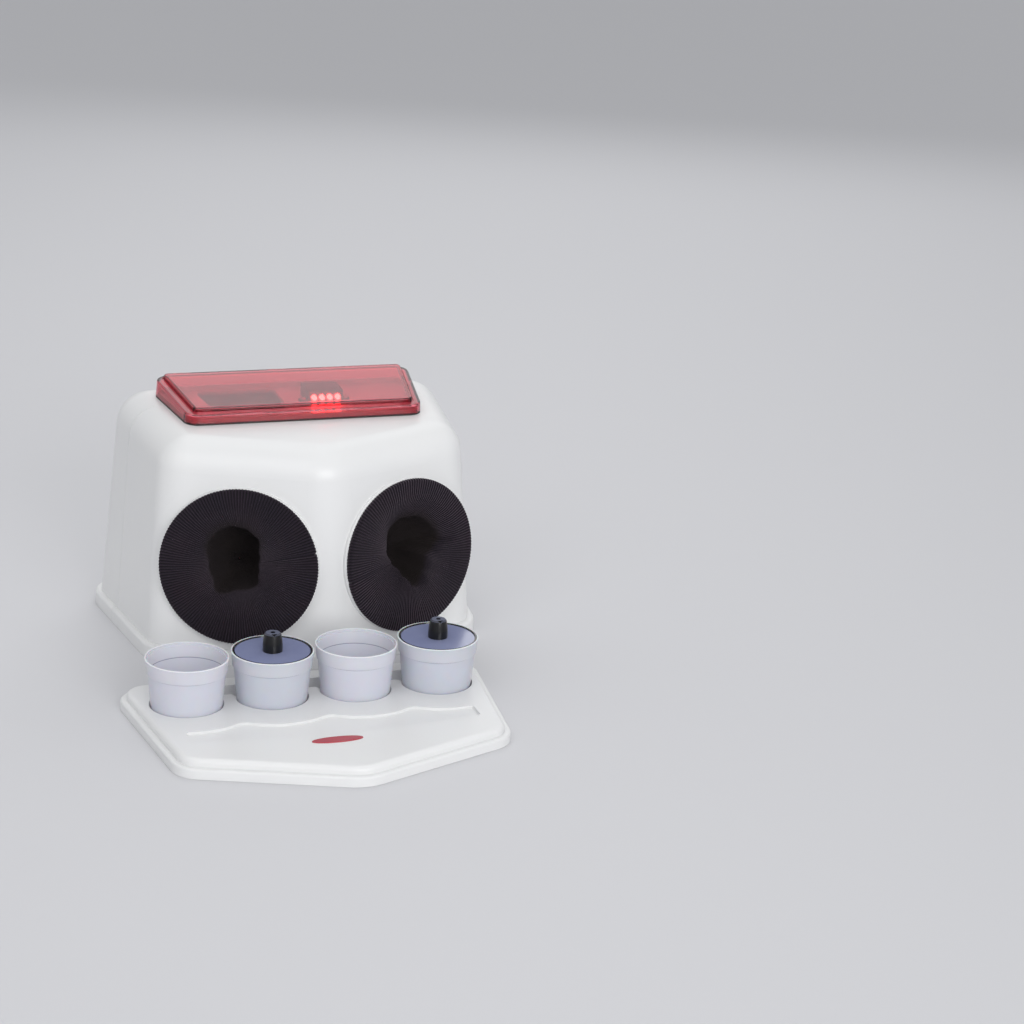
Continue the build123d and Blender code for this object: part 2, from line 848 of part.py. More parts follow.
seam_wall = Plane(origin=(hood_x, seam_y, 0), x_dir=(1, 0, 0), z_dir=(0, -1, 0))
with BuildPart() as front_shell:
    add(shell.part)
    split(bisect_by=seam_wall, keep=Keep.TOP)
front_shell.part.label = "front_shell"
export_step(front_shell.part, "parts/front_shell.step")

# The rear cover carries a tongue that laps inside the front shell and keeps light out
tongue_inside = hood_body(-wall - tongue_clearance - tongue_thickness)
tongue_outside = hood_body(-wall - tongue_clearance)


with BuildPart() as tongue:
    add(tongue_outside)
    add(seam_slab(tongue_reach, 0.0), mode=Mode.INTERSECT)
with BuildPart() as tongue_root:
    add(cavity)
    add(seam_slab(0.0, tongue_root_depth), mode=Mode.INTERSECT)
with BuildPart() as lip:
    add(tongue.part)
    add(tongue_root.part)
    add(tongue_inside, mode=Mode.SUBTRACT)
    lip_window = window_outline(roof_plane.offset(-4 * wall), lip_window_gap)
    extrude(lip_window, amount=8 * wall, mode=Mode.SUBTRACT)
    for side, x, z in post_places():
        with BuildSketch(seam_plane(x, z)):
            Circle(front_boss_radius + boss_lap_clearance)
            with Locations((side * rib_length / 2, 0)):
                Rectangle(rib_length, rib_thickness + 2 * boss_lap_clearance)
        extrude(amount=tongue_reach + 1, mode=Mode.SUBTRACT)
        with BuildSketch(seam_plane(x, z)):
            Circle(cover_screw[0] + cover_bore_clearance)
        extrude(amount=-tongue_reach, mode=Mode.SUBTRACT)

with BuildPart() as rear_cover:
    add(shell.part)
    split(bisect_by=seam_wall, keep=Keep.BOTTOM)
    add(lip.part)
rear_cover.part.label = "rear_cover"
export_step(rear_cover.part, "parts/rear_cover.step")


def on_plane(plane, u, v, w):
    """A point given by its distances along a plane's own three directions."""
    return plane.origin + plane.x_dir * u + plane.y_dir * v + plane.z_dir * w


def plane_at(plane, u, v, w=0.0, flip=1):
    return Plane(origin=on_plane(plane, u, v, w), x_dir=plane.x_dir, z_dir=plane.z_dir * flip)


# Arm openings: a hoop screwed to the boss, and a cuff stretched over it
cuff_back = boss_proud + cuff_clearance
cuff_face = boss_proud + hoop_thickness + cuff_clearance + cuff_thickness
hoop_screw_length = boss_proud - hoop_seat + hoop_thickness - hoop_screw_shortfall
hoop_angles = [hoop_first_angle + 360 / hoop_screw_count * i for i in range(hoop_screw_count)]


def cuff_skin(side, shrink):
    """The cuff's inner part as a solid block: a funnel to the mouth, then a narrowing sleeve."""
    with BuildPart() as skin:
        with BuildSketch(arm_plane(side, cuff_face)):
            Circle(hoop_inner - cuff_throat_clearance - shrink * 1.25)
        with BuildSketch(arm_plane(side, -cuff_mouth_depth)):
            Ellipse(cuff_mouth_width / 2 - shrink, cuff_mouth_height / 2 - shrink)
        loft()
        with BuildSketch(arm_plane(side, -cuff_mouth_depth)):
            Ellipse(cuff_mouth_width / 2 - shrink, cuff_mouth_height / 2 - shrink)
        with BuildSketch(arm_plane(side, -cuff_sleeve_depth)):
            Ellipse(cuff_wrist_width / 2 - shrink, cuff_wrist_height / 2 - shrink)
        loft()
    return skin.part


for side, side_name in ((-1, "left"), (1, "right")):
    with BuildPart() as hoop:
        with BuildSketch(arm_plane(side, boss_proud)):
            Circle(hoop_outer)
            Circle(hoop_inner, mode=Mode.SUBTRACT)
        extrude(amount=hoop_thickness)
        with BuildSketch(arm_plane(side, boss_proud)):
            with PolarLocations(hoop_screw_circle, hoop_screw_count, start_angle=hoop_first_angle):
                Circle(small_screw[0] + pilot_clearance)
        extrude(amount=hoop_thickness - hoop_bore_floor, mode=Mode.SUBTRACT)
    hoop.part.label = f"hoop_{side_name}"
    export_step(hoop.part, f"parts/hoop_{side_name}.step")

    with BuildPart() as cuff:
        with BuildSketch(arm_plane(side, cuff_back)):
            Circle(cuff_radius)
        extrude(amount=cuff_face - cuff_back)
        outward = arm_plane(side).z_dir
        front_face = cuff.faces().sort_by(lambda face: face.center().dot(outward))[-1]
        fillet(front_face.edges(), cuff_edge_round)
        with BuildSketch(arm_plane(side, cuff_back)):
            Circle(cuff_radius - cuff_thickness)
        extrude(amount=cuff_face - cuff_back - cuff_thickness, mode=Mode.SUBTRACT)
        with BuildSketch(arm_plane(side, cuff_back)):
            Circle(hoop_inner - cuff_face_hole_set_in)
        extrude(amount=cuff_face, mode=Mode.SUBTRACT)
        add(cuff_skin(side, 0))
        add(cuff_skin(side, cuff_thickness), mode=Mode.SUBTRACT)
    cuff.part.label = f"cuff_{side_name}"
    export_step(cuff.part, f"parts/cuff_{side_name}.step")

with BuildPart() as hoop_screws:
    for side in (-1, 1):
        for angle in hoop_angles:
            u = hoop_screw_circle * cos(radians(angle))
            v = hoop_screw_circle * sin(radians(angle))
            add(slotted_screw(plane_at(arm_plane(side, hoop_seat), u, v), *small_screw, hoop_screw_length))
hoop_screws.part.label = "hoop_screws"
export_step(hoop_screws.part, "parts/hoop_screws.step")

with BuildPart() as cover_screws:
    for side, x, z in post_places():
        add(slotted_screw(seam_plane(x, z, post_shoulder), *cover_screw, cover_screw_length))
cover_screws.part.label = "cover_screws"
export_step(cover_screws.part, "parts/cover_screws.step")

# Visor: a tapered box whose rim rises to the back, with a raised panel inside a groove
visor_run = visor_back - visor_front
rim_slope = roof_slope + degrees(atan((visor_back_height - visor_front_height) / visor_run))
rim_normal = Vector(0, -sin(radians(rim_slope)), cos(radians(rim_slope)))
rim_along = Vector(0, cos(radians(rim_slope)), sin(radians(rim_slope)))
rim_front = on_plane(roof_plane, 0, visor_front, seal_thickness + visor_front_height)
rim_plane = Plane(origin=rim_front - rim_along * visor_front, x_dir=(1, 0, 0), z_dir=rim_normal)


def height_over_rim(face):
    return (face.center() - rim_plane.origin).dot(rim_normal)


def visor_block(shrink, lift):
    """The visor as a solid block, drawn in by an even margin, standing above the roof."""
    with BuildPart() as block:
        extrude(
            visor_outline(roof_plane.offset(lift), shrink),
            amount=seal_thickness + visor_back_height + panel_rise - lift,
            taper=visor_draft,
        )
        split(bisect_by=rim_plane.offset(-shrink), keep=Keep.BOTTOM)
        fillet(block.faces().sort_by(height_over_rim)[-1].edges(), visor_edge_round)
        extrude(
            visor_outline(rim_plane.offset(-shrink), panel_inset + shrink, panel_back_inset + shrink),
            amount=panel_rise,
            taper=visor_draft,
        )
        fillet(block.faces().sort_by(height_over_rim)[-1].edges(), visor_edge_round)
    return block.part


with BuildPart() as visor:
    add(visor_block(0, seal_thickness))
    with BuildSketch(rim_plane) as groove:
        add(visor_outline(Plane.XY, panel_inset - groove_width, panel_back_inset - groove_width))
        add(visor_outline(Plane.XY, panel_inset, panel_back_inset), mode=Mode.SUBTRACT)
    extrude(amount=-groove_depth, mode=Mode.SUBTRACT)
    add(visor_block(visor_wall, 0), mode=Mode.SUBTRACT)
visor.part.label = "visor"
export_step(visor.part, "parts/visor.step")

with BuildPart() as visor_seal:
    extrude(visor_outline(roof_plane, seal_set_in), amount=seal_thickness)
    extrude(visor_outline(roof_plane, seal_set_in + seal_width), amount=seal_thickness, mode=Mode.SUBTRACT)
visor_seal.part.label = "visor_seal"
export_step(visor_seal.part, "parts/visor_seal.step")

# Lamp: a black housing on the bridge, four round diodes and their board
lamp_middle = lamp_front + lamp_length / 2
board_front = lamp_front + lamp_wall + board_clearance + diode_flange
board_width = lamp_width - 2 * lamp_wall - 2 * board_clearance


def facing_front(s, lift):
    """A plane across the roof at a distance from the ridge, its normal pointing forward."""
    return Plane(origin=on_plane(roof_plane, lamp_x, s, lift), x_dir=(1, 0, 0), z_dir=-roof_plane.y_dir)


with BuildPart() as lamp_housing:
    with BuildSketch(roof_at(lamp_x, lamp_middle)):
        RectangleRounded(lamp_width, lamp_length, lamp_corner_radius)
    extrude(amount=lamp_height)
    fillet(lamp_housing.faces().sort_by(Axis.Z)[-1].edges(), lamp_edge_round)
    for side in (-1, 1):
        with BuildSketch(roof_at(lamp_x + side * (ear_x - ear_root), ear_s)):
            RectangleRounded(ear_length + 2 * ear_root, ear_width, ear_round)
        extrude(amount=ear_thickness)
    with BuildSketch(roof_at(lamp_x, lamp_middle)):
        Rectangle(lamp_width - 2 * lamp_wall, lamp_length - 2 * lamp_wall)
    extrude(amount=lamp_height - lamp_wall, mode=Mode.SUBTRACT)
    for side in (-1, 1):
        with BuildSketch(roof_at(lamp_x + side * ear_x, ear_s)):
            Circle(small_screw[0] + bore_clearance)
        extrude(amount=ear_thickness, mode=Mode.SUBTRACT)
        rib_middle = board_front + board_thickness + board_clearance + board_rib_thickness / 2
        rib_x = lamp_width / 2 - lamp_wall + lamp_wall / 2 - board_rib_width / 2
        with BuildSketch(roof_at(lamp_x + side * rib_x, rib_middle)):
            Rectangle(board_rib_width, board_rib_thickness)
        extrude(amount=lamp_height - lamp_wall)
    with BuildSketch(facing_front(lamp_front, led_height)):
        with GridLocations(led_pitch, 0, led_count, 1):
            Circle(led_radius + diode_clearance)
    extrude(amount=-lamp_wall, mode=Mode.SUBTRACT)
lamp_housing.part.label = "lamp_housing"
export_step(lamp_housing.part, "parts/lamp_housing.step")

with BuildPart() as leds:
    with BuildSketch(facing_front(board_front, led_height)):
        with GridLocations(led_pitch, 0, led_count, 1):
            Circle(led_radius + diode_flange_reach)
    extrude(amount=diode_flange)
    with BuildSketch(facing_front(board_front, led_height)):
        with GridLocations(led_pitch, 0, led_count, 1):
            Circle(led_radius)
    extrude(amount=led_length - led_radius)
    with Locations(facing_front(board_front - led_length + led_radius, led_height)):
        with GridLocations(led_pitch, 0, led_count, 1):
            Sphere(led_radius)
leds.part.label = "leds"
export_step(leds.part, "parts/leds.step")

with BuildPart() as led_board:
    with BuildSketch(facing_front(board_front, board_height / 2)):
        Rectangle(board_width, board_height)
    extrude(amount=-board_thickness)
led_board.part.label = "led_board"
export_step(led_board.part, "parts/led_board.step")

with BuildPart() as lamp_screws:
    for side in (-1, 1):
        seat = plane_at(roof_plane, lamp_x + side * ear_x, ear_s, ear_thickness, flip=-1)
        add(slotted_screw(seat, *small_screw, lamp_screw_length))
lamp_screws.part.label = "lamp_screws"
export_step(lamp_screws.part, "parts/lamp_screws.step")

# Battery bay: box, contacts, springs, cells and door
box_plane = back_plane(battery_x, battery_height)
box_back = bay_back - box_wall
cell_rows = [cell_play + cell_radius - bay_height / 2 + i * cell_pitch for i in range(cell_count)]
box_screw_length = flange_thickness + pad_thickness + wall - thread_floor

with BuildPart() as battery_box:
    with BuildSketch(plane_at(box_plane, 0, 0, flange_seat)):
        RectangleRounded(pad_width, pad_height, box_corner_radius)
    extrude(amount=-flange_thickness)
    with BuildSketch(plane_at(box_plane, 0, 0, flange_seat)):
        Rectangle(bay_width + 2 * box_wall, bay_height + 2 * box_wall)
    extrude(amount=box_back - flange_seat)
    with BuildSketch(plane_at(box_plane, 0, 0, flange_seat)):
        Rectangle(bay_width, bay_height)
    extrude(amount=bay_back - flange_seat, mode=Mode.SUBTRACT)
    for i in range(1, cell_count):
        shelf_v = i * cell_pitch - bay_height / 2 - shelf_thickness / 2
        with BuildSketch(plane_at(box_plane, 0, shelf_v, bay_back)):
            Rectangle(bay_width, shelf_thickness)
        extrude(amount=cell_axis - bay_back + shelf_past_axis)
    with BuildSketch(plane_at(box_plane, 0, 0, flange_seat)):
        with GridLocations(2 * box_screw_x, 2 * box_screw_y, 2, 2):
            Circle(small_screw[0] + bore_clearance)
    extrude(amount=-flange_thickness, mode=Mode.SUBTRACT)
    lead_way = Plane(origin=on_plane(box_plane, 0, bay_height / 2, -lead_stand), z_dir=box_plane.y_dir)
    with BuildSketch(lead_way):
        Circle(lead_radius + lead_hole_play)
    extrude(amount=box_wall, mode=Mode.SUBTRACT)
    with BuildSketch(plane_at(box_plane, link_u, 0, box_back)):
        Circle(lead_radius + lead_hole_play)
    extrude(amount=box_wall, mode=Mode.SUBTRACT)
battery_box.part.label = "battery_box"
export_step(battery_box.part, "parts/battery_box.step")

with BuildPart() as battery_box_screws:
    for u in (-box_screw_x, box_screw_x):
        for v in (-box_screw_y, box_screw_y):
            seat = plane_at(box_plane, u, v, flange_seat - flange_thickness)
            add(slotted_screw(seat, *small_screw, box_screw_length))
battery_box_screws.part.label = "battery_box_screws"
export_step(battery_box_screws.part, "parts/battery_box_screws.step")

# The cells lie in turn: the nub of each points the other way than the one below
nub_ends = [1 if i % 2 == 0 else -1 for i in range(cell_count)]
nub_tip = bay_width / 2 - contact_thickness - contact_gap
cell_flat = nub_tip - cell_nub_length - cell_length
spring_room = cell_flat + bay_width / 2 - contact_thickness
spring_height = spring_room - 2 * spring_wire - 2 * contact_gap

with BuildPart() as battery_cells:
    for v, end in zip(cell_rows, nub_ends):
        start = Plane(origin=on_plane(box_plane, end * cell_flat, v, cell_axis), z_dir=box_plane.x_dir * end)
        with BuildSketch(start):
            Circle(cell_radius)
        extrude(amount=cell_length)
        with BuildSketch(start):
            Circle(cell_nub_radius)
        extrude(amount=cell_length + cell_nub_length)
battery_cells.part.label = "battery_cells"
export_step(battery_cells.part, "parts/battery_cells.step")

with BuildPart() as battery_contacts:
    for v in cell_rows:
        for end in (-1, 1):
            wall_face = on_plane(box_plane, end * bay_width / 2, v, cell_axis)
            with BuildSketch(Plane(origin=wall_face, x_dir=box_plane.y_dir, z_dir=box_plane.x_dir * -end)):
                Rectangle(contact_size, contact_size)
            extrude(amount=contact_thickness)
battery_contacts.part.label = "battery_contacts"
export_step(battery_contacts.part, "parts/battery_contacts.step")

with BuildPart() as battery_springs:
    for v, end in zip(cell_rows, nub_ends):
        foot_u = contact_thickness + contact_gap + spring_wire - bay_width / 2
        foot = on_plane(box_plane, end * foot_u, v, cell_axis)
        with BuildLine() as coil:
            Helix(
                pitch=spring_height / spring_turns,
                height=spring_height,
                radius=spring_radius,
                center=foot,
                direction=box_plane.x_dir * end,
            )
        with BuildSketch(Plane(origin=coil.line @ 0, z_dir=coil.line % 0)):
            Circle(spring_wire)
        sweep()
battery_springs.part.label = "battery_springs"
export_step(battery_springs.part, "parts/battery_springs.step")

with BuildPart() as battery_door:
    with BuildSketch(box_plane):
        RectangleRounded(bay_width + 2 * door_overlap, bay_height + 2 * door_overlap, door_corner_radius)
    extrude(amount=door_thickness)
    fillet(battery_door.faces().sort_by(Axis.Y)[-1].edges(), door_edge_round)
    with BuildSketch(box_plane):
        RectangleRounded(
            bay_width - 2 * door_clearance,
            bay_height - 2 * door_clearance,
            bay_corner_radius - 0.75 * door_clearance,
        )
        Rectangle(
            bay_width - 2 * door_clearance - 2 * door_plug_wall,
            bay_height - 2 * door_clearance - 2 * door_plug_wall,
            mode=Mode.SUBTRACT,
        )
    extrude(amount=-door_plug_depth)
    with BuildSketch(plane_at(box_plane, 0, bay_height / 2 - door_grip_drop, door_thickness)):
        SlotOverall(door_grip_length, door_grip_width)
    extrude(amount=-door_grip_depth, mode=Mode.SUBTRACT)
battery_door.part.label = "battery_door"
export_step(battery_door.part, "parts/battery_door.step")

# Rocker switch beside the battery bay
switch_plane = back_plane(switch_x, battery_height)
pocket_half = rocker_half + rocker_end_play
rocker_width = switch_width - 2 * rocker_side_wall

with BuildPart() as switch_body:
    with BuildSketch(switch_plane):
        RectangleRounded(
            switch_width + 2 * bezel_overlap, switch_length + 2 * bezel_overlap, bezel_corner_radius
        )
    extrude(amount=bezel_thickness)
    fillet(switch_body.faces().sort_by(Axis.Y)[-1].edges(), bezel_round)
    with BuildSketch(switch_plane):
        Rectangle(switch_width, switch_length)
    extrude(amount=-switch_depth)
    with BuildSketch(plane_at(switch_plane, 0, 0, bezel_thickness)):
        Rectangle(rocker_width + 2 * rocker_side_play, 2 * pocket_half)
    extrude(amount=-bezel_thickness - rocker_pocket_depth, mode=Mode.SUBTRACT)
    with BuildSketch(Plane(origin=on_plane(switch_plane, 0, 0, -pivot_sunk), z_dir=switch_plane.x_dir)):
        Circle(pivot_radius + pilot_clearance)
    extrude(amount=pivot_half + pivot_play, both=True, mode=Mode.SUBTRACT)
switch_body.part.label = "switch_body"
export_step(switch_body.part, "parts/switch_body.step")

# The rocker is pressed to ON: its profile is drawn on a plane tilted about the pivot
tilt = radians(rocker_tilt)
rocker_out = switch_plane.z_dir * cos(tilt) + switch_plane.y_dir * sin(tilt)
rocker_along = switch_plane.y_dir * cos(tilt) - switch_plane.z_dir * sin(tilt)
pivot = on_plane(switch_plane, 0, 0, -pivot_sunk)
crest = rocker_lift + rocker_half * tan(tilt)
with BuildPart() as switch_rocker:
    with BuildSketch(Plane(origin=pivot, x_dir=rocker_along, z_dir=rocker_along.cross(rocker_out))):
        with BuildLine():
            Polyline(
                (-rocker_half, crest),
                (0, rocker_lift),
                (rocker_half, crest),
                (rocker_half, rocker_shoulder),
                (rocker_foot_half, -rocker_foot_depth),
                (-rocker_foot_half, -rocker_foot_depth),
                (-rocker_half, rocker_shoulder),
                close=True,
            )
        make_face()
    extrude(amount=rocker_width / 2, both=True)
    with BuildSketch(Plane(origin=pivot, z_dir=switch_plane.x_dir)):
        Circle(pivot_radius)
    extrude(amount=pivot_half, both=True)
switch_rocker.part.label = "switch_rocker"
export_step(switch_rocker.part, "parts/switch_rocker.step")


def bend_radii(points):
    """For each inner corner: 0.45 of the shorter run over the tangent of half the turn."""
    radii = []
    for before, corner, after in zip(points, points[1:], points[2:]):
        run_in = corner - before
        run_out = after - corner
        half_turn = radians(run_in.get_angle(run_out)) / 2
        radii.append(0.45 * min(run_in.length, run_out.length) / tan(half_turn))
    return radii


def export_lead(name, points, radius):
    """A round lead along straight runs joined by tangent arcs."""
    radii = bend_radii(points)
    with BuildPart() as lead:
        with BuildLine() as path:
            FilletPolyline(*points, radius=radii)
        with BuildSketch(Plane(origin=path.line @ 0, z_dir=path.line % 0)):
            Circle(radius)
        sweep()
    expected = pi * radius**2 * sum(edge.length for edge in path.edges())
    print(name, "radii", [round(r, 1) for r in radii], "volume over section x length",
          round(lead.part.volume / expected, 4))
    lead.part.label = name
    export_step(lead.part, f"parts/{name}.step")


# The lamp lead leaves the battery box upwards, runs under the roof and up through the bridge
lead_drop = wall + lead_below_roof
low_run = on_plane(roof_plane, lamp_x, 0, -lead_drop)
wall_gap = (low_run - box_plane.origin).dot(box_plane.z_dir) + lead_stand
lead_corner_s = -wall_gap / roof_plane.y_dir.dot(box_plane.z_dir)
board_back = board_front + board_thickness
export_lead(
    "lamp_lead",
    [
        on_plane(box_plane, 0, bay_height / 2 + lead_end_gap, -lead_stand),
        on_plane(roof_plane, lamp_x, lead_corner_s, -lead_drop),
        on_plane(roof_plane, lamp_x, lead_hole_s, -lead_drop),
        on_plane(roof_plane, lamp_x, lead_hole_s, led_height),
        on_plane(roof_plane, lamp_x, board_back, led_height),
    ],
    lead_radius,
)

# The short link between the switch and the battery box bows into the hood
switch_u = battery_x - switch_x
export_lead(
    "switch_lead",
    [
        on_plane(box_plane, switch_u, 0, -switch_depth),
        on_plane(box_plane, switch_u, 0, -link_bow),
        on_plane(box_plane, link_u, 0, -link_bow),
        on_plane(box_plane, link_u, 0, bay_back - lead_end_gap),
    ],
    lead_radius,
)

with BuildPart() as lead_clips:
    wall_clip = plane_at(back_plane(battery_x, clip_height), 0, 0, -wall)
    roof_clip = roof_at(lamp_x, lead_hole_s + (lead_corner_s - lead_hole_s) * clip_share, -wall)
    for base, depth in ((wall_clip, lead_stand - wall), (roof_clip, lead_drop - wall)):
        with BuildSketch(base):
            Rectangle(clip_size, clip_size)
        extrude(amount=-depth - clip_size / 2 + clip_mouth)
        with BuildSketch(Plane(origin=on_plane(base, 0, 0, -depth), z_dir=base.y_dir)):
            Circle(lead_radius + clip_play)
        extrude(amount=clip_size, both=True, mode=Mode.SUBTRACT)
lead_clips.part.label = "lead_clips"
export_step(lead_clips.part, "parts/lead_clips.step")
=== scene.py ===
# %% [markdown]
# # A film developing box
# This lesson dresses a finished CAD model in Blender. The object is a light-proof hood for developing
# small X-ray films by hand: two stretchy cuffs let the hands in, a red visor lets the eyes in, and a
# tray in front holds four cups for the baths.
#
# The CAD model stays as it is. It comes in as a fixed frame, and everything here either gives one of
# its nodes a finish or stands in for a soft piece that CAD can only show as a smooth shell.

# %% Load the frame
import math

import bpy
from mathutils import Matrix, Vector, noise


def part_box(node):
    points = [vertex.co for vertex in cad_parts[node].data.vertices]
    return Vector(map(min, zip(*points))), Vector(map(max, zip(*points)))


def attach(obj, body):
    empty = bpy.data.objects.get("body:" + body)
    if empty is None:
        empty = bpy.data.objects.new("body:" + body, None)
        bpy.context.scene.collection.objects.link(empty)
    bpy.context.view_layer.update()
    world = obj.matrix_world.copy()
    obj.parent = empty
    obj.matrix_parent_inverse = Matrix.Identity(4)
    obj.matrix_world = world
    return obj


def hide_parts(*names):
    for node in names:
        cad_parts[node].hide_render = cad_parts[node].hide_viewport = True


MM = 0.001
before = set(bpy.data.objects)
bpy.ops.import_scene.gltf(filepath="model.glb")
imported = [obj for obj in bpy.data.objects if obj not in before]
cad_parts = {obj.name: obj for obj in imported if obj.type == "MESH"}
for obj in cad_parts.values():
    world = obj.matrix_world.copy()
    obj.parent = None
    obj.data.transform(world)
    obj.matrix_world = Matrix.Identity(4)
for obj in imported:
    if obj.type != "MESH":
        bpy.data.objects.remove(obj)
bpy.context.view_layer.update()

# %% [markdown]
# ## Camera
# The object is seen from its left and from above, through a long lens, so its sides hardly converge. The
# camera is written as a place, three angles and a focal length in pixels of the square picture.

# %% Camera
IMAGE_SIZE = 1024
focal_pixels = 2300.0
camera_place = Vector((-0.5496, -1.9742, 0.8174))
camera_yaw = math.radians(20.51)
camera_pitch = math.radians(17.67)
camera_roll = math.radians(2.73)

look = Vector(
    (
        math.sin(camera_yaw) * math.cos(camera_pitch),
        math.cos(camera_yaw) * math.cos(camera_pitch),
        -math.sin(camera_pitch),
    )
)
level = Vector((math.cos(camera_yaw), -math.sin(camera_yaw), 0.0))
upright = level.cross(look)
right = level * math.cos(camera_roll) + upright * math.sin(camera_roll)
up = upright * math.cos(camera_roll) - level * math.sin(camera_roll)

camera = bpy.data.objects.new("camera", bpy.data.cameras.new("camera"))
camera.data.sensor_width = 36.0
camera.data.lens = camera.data.sensor_width * focal_pixels / IMAGE_SIZE
camera.data.clip_end = 60.0
camera.matrix_world = Matrix.Translation(camera_place) @ Matrix((right, up, -look)).transposed().to_4x4()
bpy.context.collection.objects.link(camera)
bpy.context.scene.camera = camera
bpy.context.scene.view_settings.view_transform = "Standard"
print("lens", round(camera.data.lens, 1), "mm")

# %% [markdown]
# ## Shader sums as plain Python
# Procedural finishes are mostly arithmetic on noise. A small class wraps one output socket, so that
# `1 - mask * 0.2` builds the Math nodes by itself. Every other node comes from one method, which takes
# the node's type, its settings and the values or links of its sockets.


# %% A wire that can be reckoned with
class Wire:
    """One output of a material's node, on which Python's own operators work."""

    def __init__(self, finish, socket):
        self.finish = finish
        self.socket = socket

    def __add__(self, other):
        return self.finish.calculate("ADD", self, other)

    def __sub__(self, other):
        return self.finish.calculate("SUBTRACT", self, other)

    def __rsub__(self, other):
        return self.finish.calculate("SUBTRACT", other, self)

    def __mul__(self, other):
        return self.finish.calculate("MULTIPLY", self, other)

    def __pow__(self, other):
        return self.finish.calculate("POWER", self, other)

    def __gt__(self, other):
        return self.finish.calculate("GREATER_THAN", self, other)

    __radd__ = __add__
    __rmul__ = __mul__


# %% [markdown]
# The second class is the material. Its short methods are the words in which the finishes below are
# written: a place, an axis, a noise, a ramp, a tint and a bump. Where a surface changes more than its
# colour, a second shader takes over by a share that may vary from point to point.


# %% A finish
class Finish:
    """A material with a Principled shader, whose sockets take numbers, colours or wires."""

    def __init__(self, name, **sockets):
        self.material = bpy.data.materials.new(name)
        self.material.use_nodes = True
        self.tree = self.material.node_tree
        self.shader = self.tree.nodes["Principled BSDF"]
        self.set(**sockets)

    def set(self, **sockets):
        """Sets sockets by their names in small letters, such as base_color or coat_weight."""
        for name, value in sockets.items():
            label = name.replace("_", " ").title().replace("Ior", "IOR")
            self.plug(self.shader.inputs[label], value)

    def plug(self, socket, value):
        if isinstance(value, Wire):
            self.tree.links.new(value.socket, socket)
        elif socket.type == "RGBA" and len(value) == 3:
            socket.default_value = (*value, 1.0)
        else:
            socket.default_value = value

    def node(self, kind, settings=None, inputs=None, output=0):
        """Adds a node with these settings and inputs, and gives the wire of one output."""
        node = self.tree.nodes.new(kind)
        for name, value in (settings or {}).items():
            setattr(node, name, value)
        for key, value in (inputs or {}).items():
            self.plug(node.inputs[key], value)
        return Wire(self, node.outputs[output])

    def calculate(self, operation, *terms):
        return self.node("ShaderNodeMath", {"operation": operation}, dict(enumerate(terms)))

    def place(self):
        """The object's own coordinates, in metres."""
        return self.node("ShaderNodeTexCoord", output="Object")

    def axis(self, vector, letter):
        """One coordinate of a place or a direction: X, Y or Z."""
        return self.node("ShaderNodeSeparateXYZ", inputs={"Vector": vector}, output=letter)

    def facing_up(self):
        """1 where the surface faces up, 0 where it stands upright and -1 where it faces down."""
        return self.axis(self.node("ShaderNodeNewGeometry", output="Normal"), "Z")

    def noise(self, size, detail=2.0, rough=0.5):
        """Soft noise from 0 to 1, with blotches of about this size in metres."""
        inputs = {"Vector": self.place(), "Scale": 1.0 / size, "Detail": detail, "Roughness": rough}
        return self.node("ShaderNodeTexNoise", inputs=inputs)

    def ramp(self, value, start, end):
        """A smooth rise from 0 to 1, as the value goes from start to end."""
        inputs = {"Value": value, "From Min": start, "From Max": end}
        return self.node("ShaderNodeMapRange", {"interpolation_type": "SMOOTHSTEP"}, inputs)

    def tint(self, amount, first, second):
        """A colour between two others."""
        inputs = {0: amount, 6: first, 7: second}
        return self.node("ShaderNodeMix", {"data_type": "RGBA"}, inputs, output=2)

    def bump(self, height, depth, under=None):
        """A bump of this depth in metres, on top of another bump if one is given."""
        inputs = {"Height": height, "Distance": depth, "Strength": 1.0}
        if under is not None:
            inputs["Normal"] = under
        return self.node("ShaderNodeBump", inputs=inputs)

    def take_over(self, share, **sockets):
        """Adds a second Principled shader that covers the first one by this share."""
        first = Wire(self, self.shader.outputs[0])
        second = self.node("ShaderNodeBsdfPrincipled")
        self.shader = second.socket.node
        self.set(**sockets)
        mixed = self.node("ShaderNodeMixShader", inputs={0: share, 1: first, 2: second})
        self.plug(self.tree.nodes["Material Output"].inputs["Surface"], mixed)


def paint(finish, *nodes):
    """Puts a finish on CAD nodes."""
    for name in nodes:
        for material_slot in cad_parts[name].material_slots:
            material_slot.material = finish.material
    print(finish.material.name, "on", ", ".join(nodes))


# %% [markdown]
# ## Light and floor
# Plain studio light: one large soft panel high on the left, a lower one in front that opens the shade
# under the cuffs, one overhead, and the world as fill. A white plastic stays just under white. The last
# panel stands behind the object, where the visor's sloping top mirrors it: gloss shows only what it
# reflects, so a photographer puts a pale card there.


# %% Lamps, world and floor
def panel(name, place, aim, width, power, spread=180.0):
    """A square area lamp at a place, facing a point. A grid in front of it can narrow its spread."""
    lamp = bpy.data.lights.new(name, "AREA")
    lamp.shape = "SQUARE"
    lamp.size = width
    lamp.energy = power
    lamp.spread = math.radians(spread)
    holder = bpy.data.objects.new(name, lamp)
    turn = (Vector(aim) - Vector(place)).to_track_quat("-Z", "Y")
    holder.matrix_world = Matrix.Translation(place) @ turn.to_matrix().to_4x4()
    bpy.context.collection.objects.link(holder)
    print(name, power, "W")


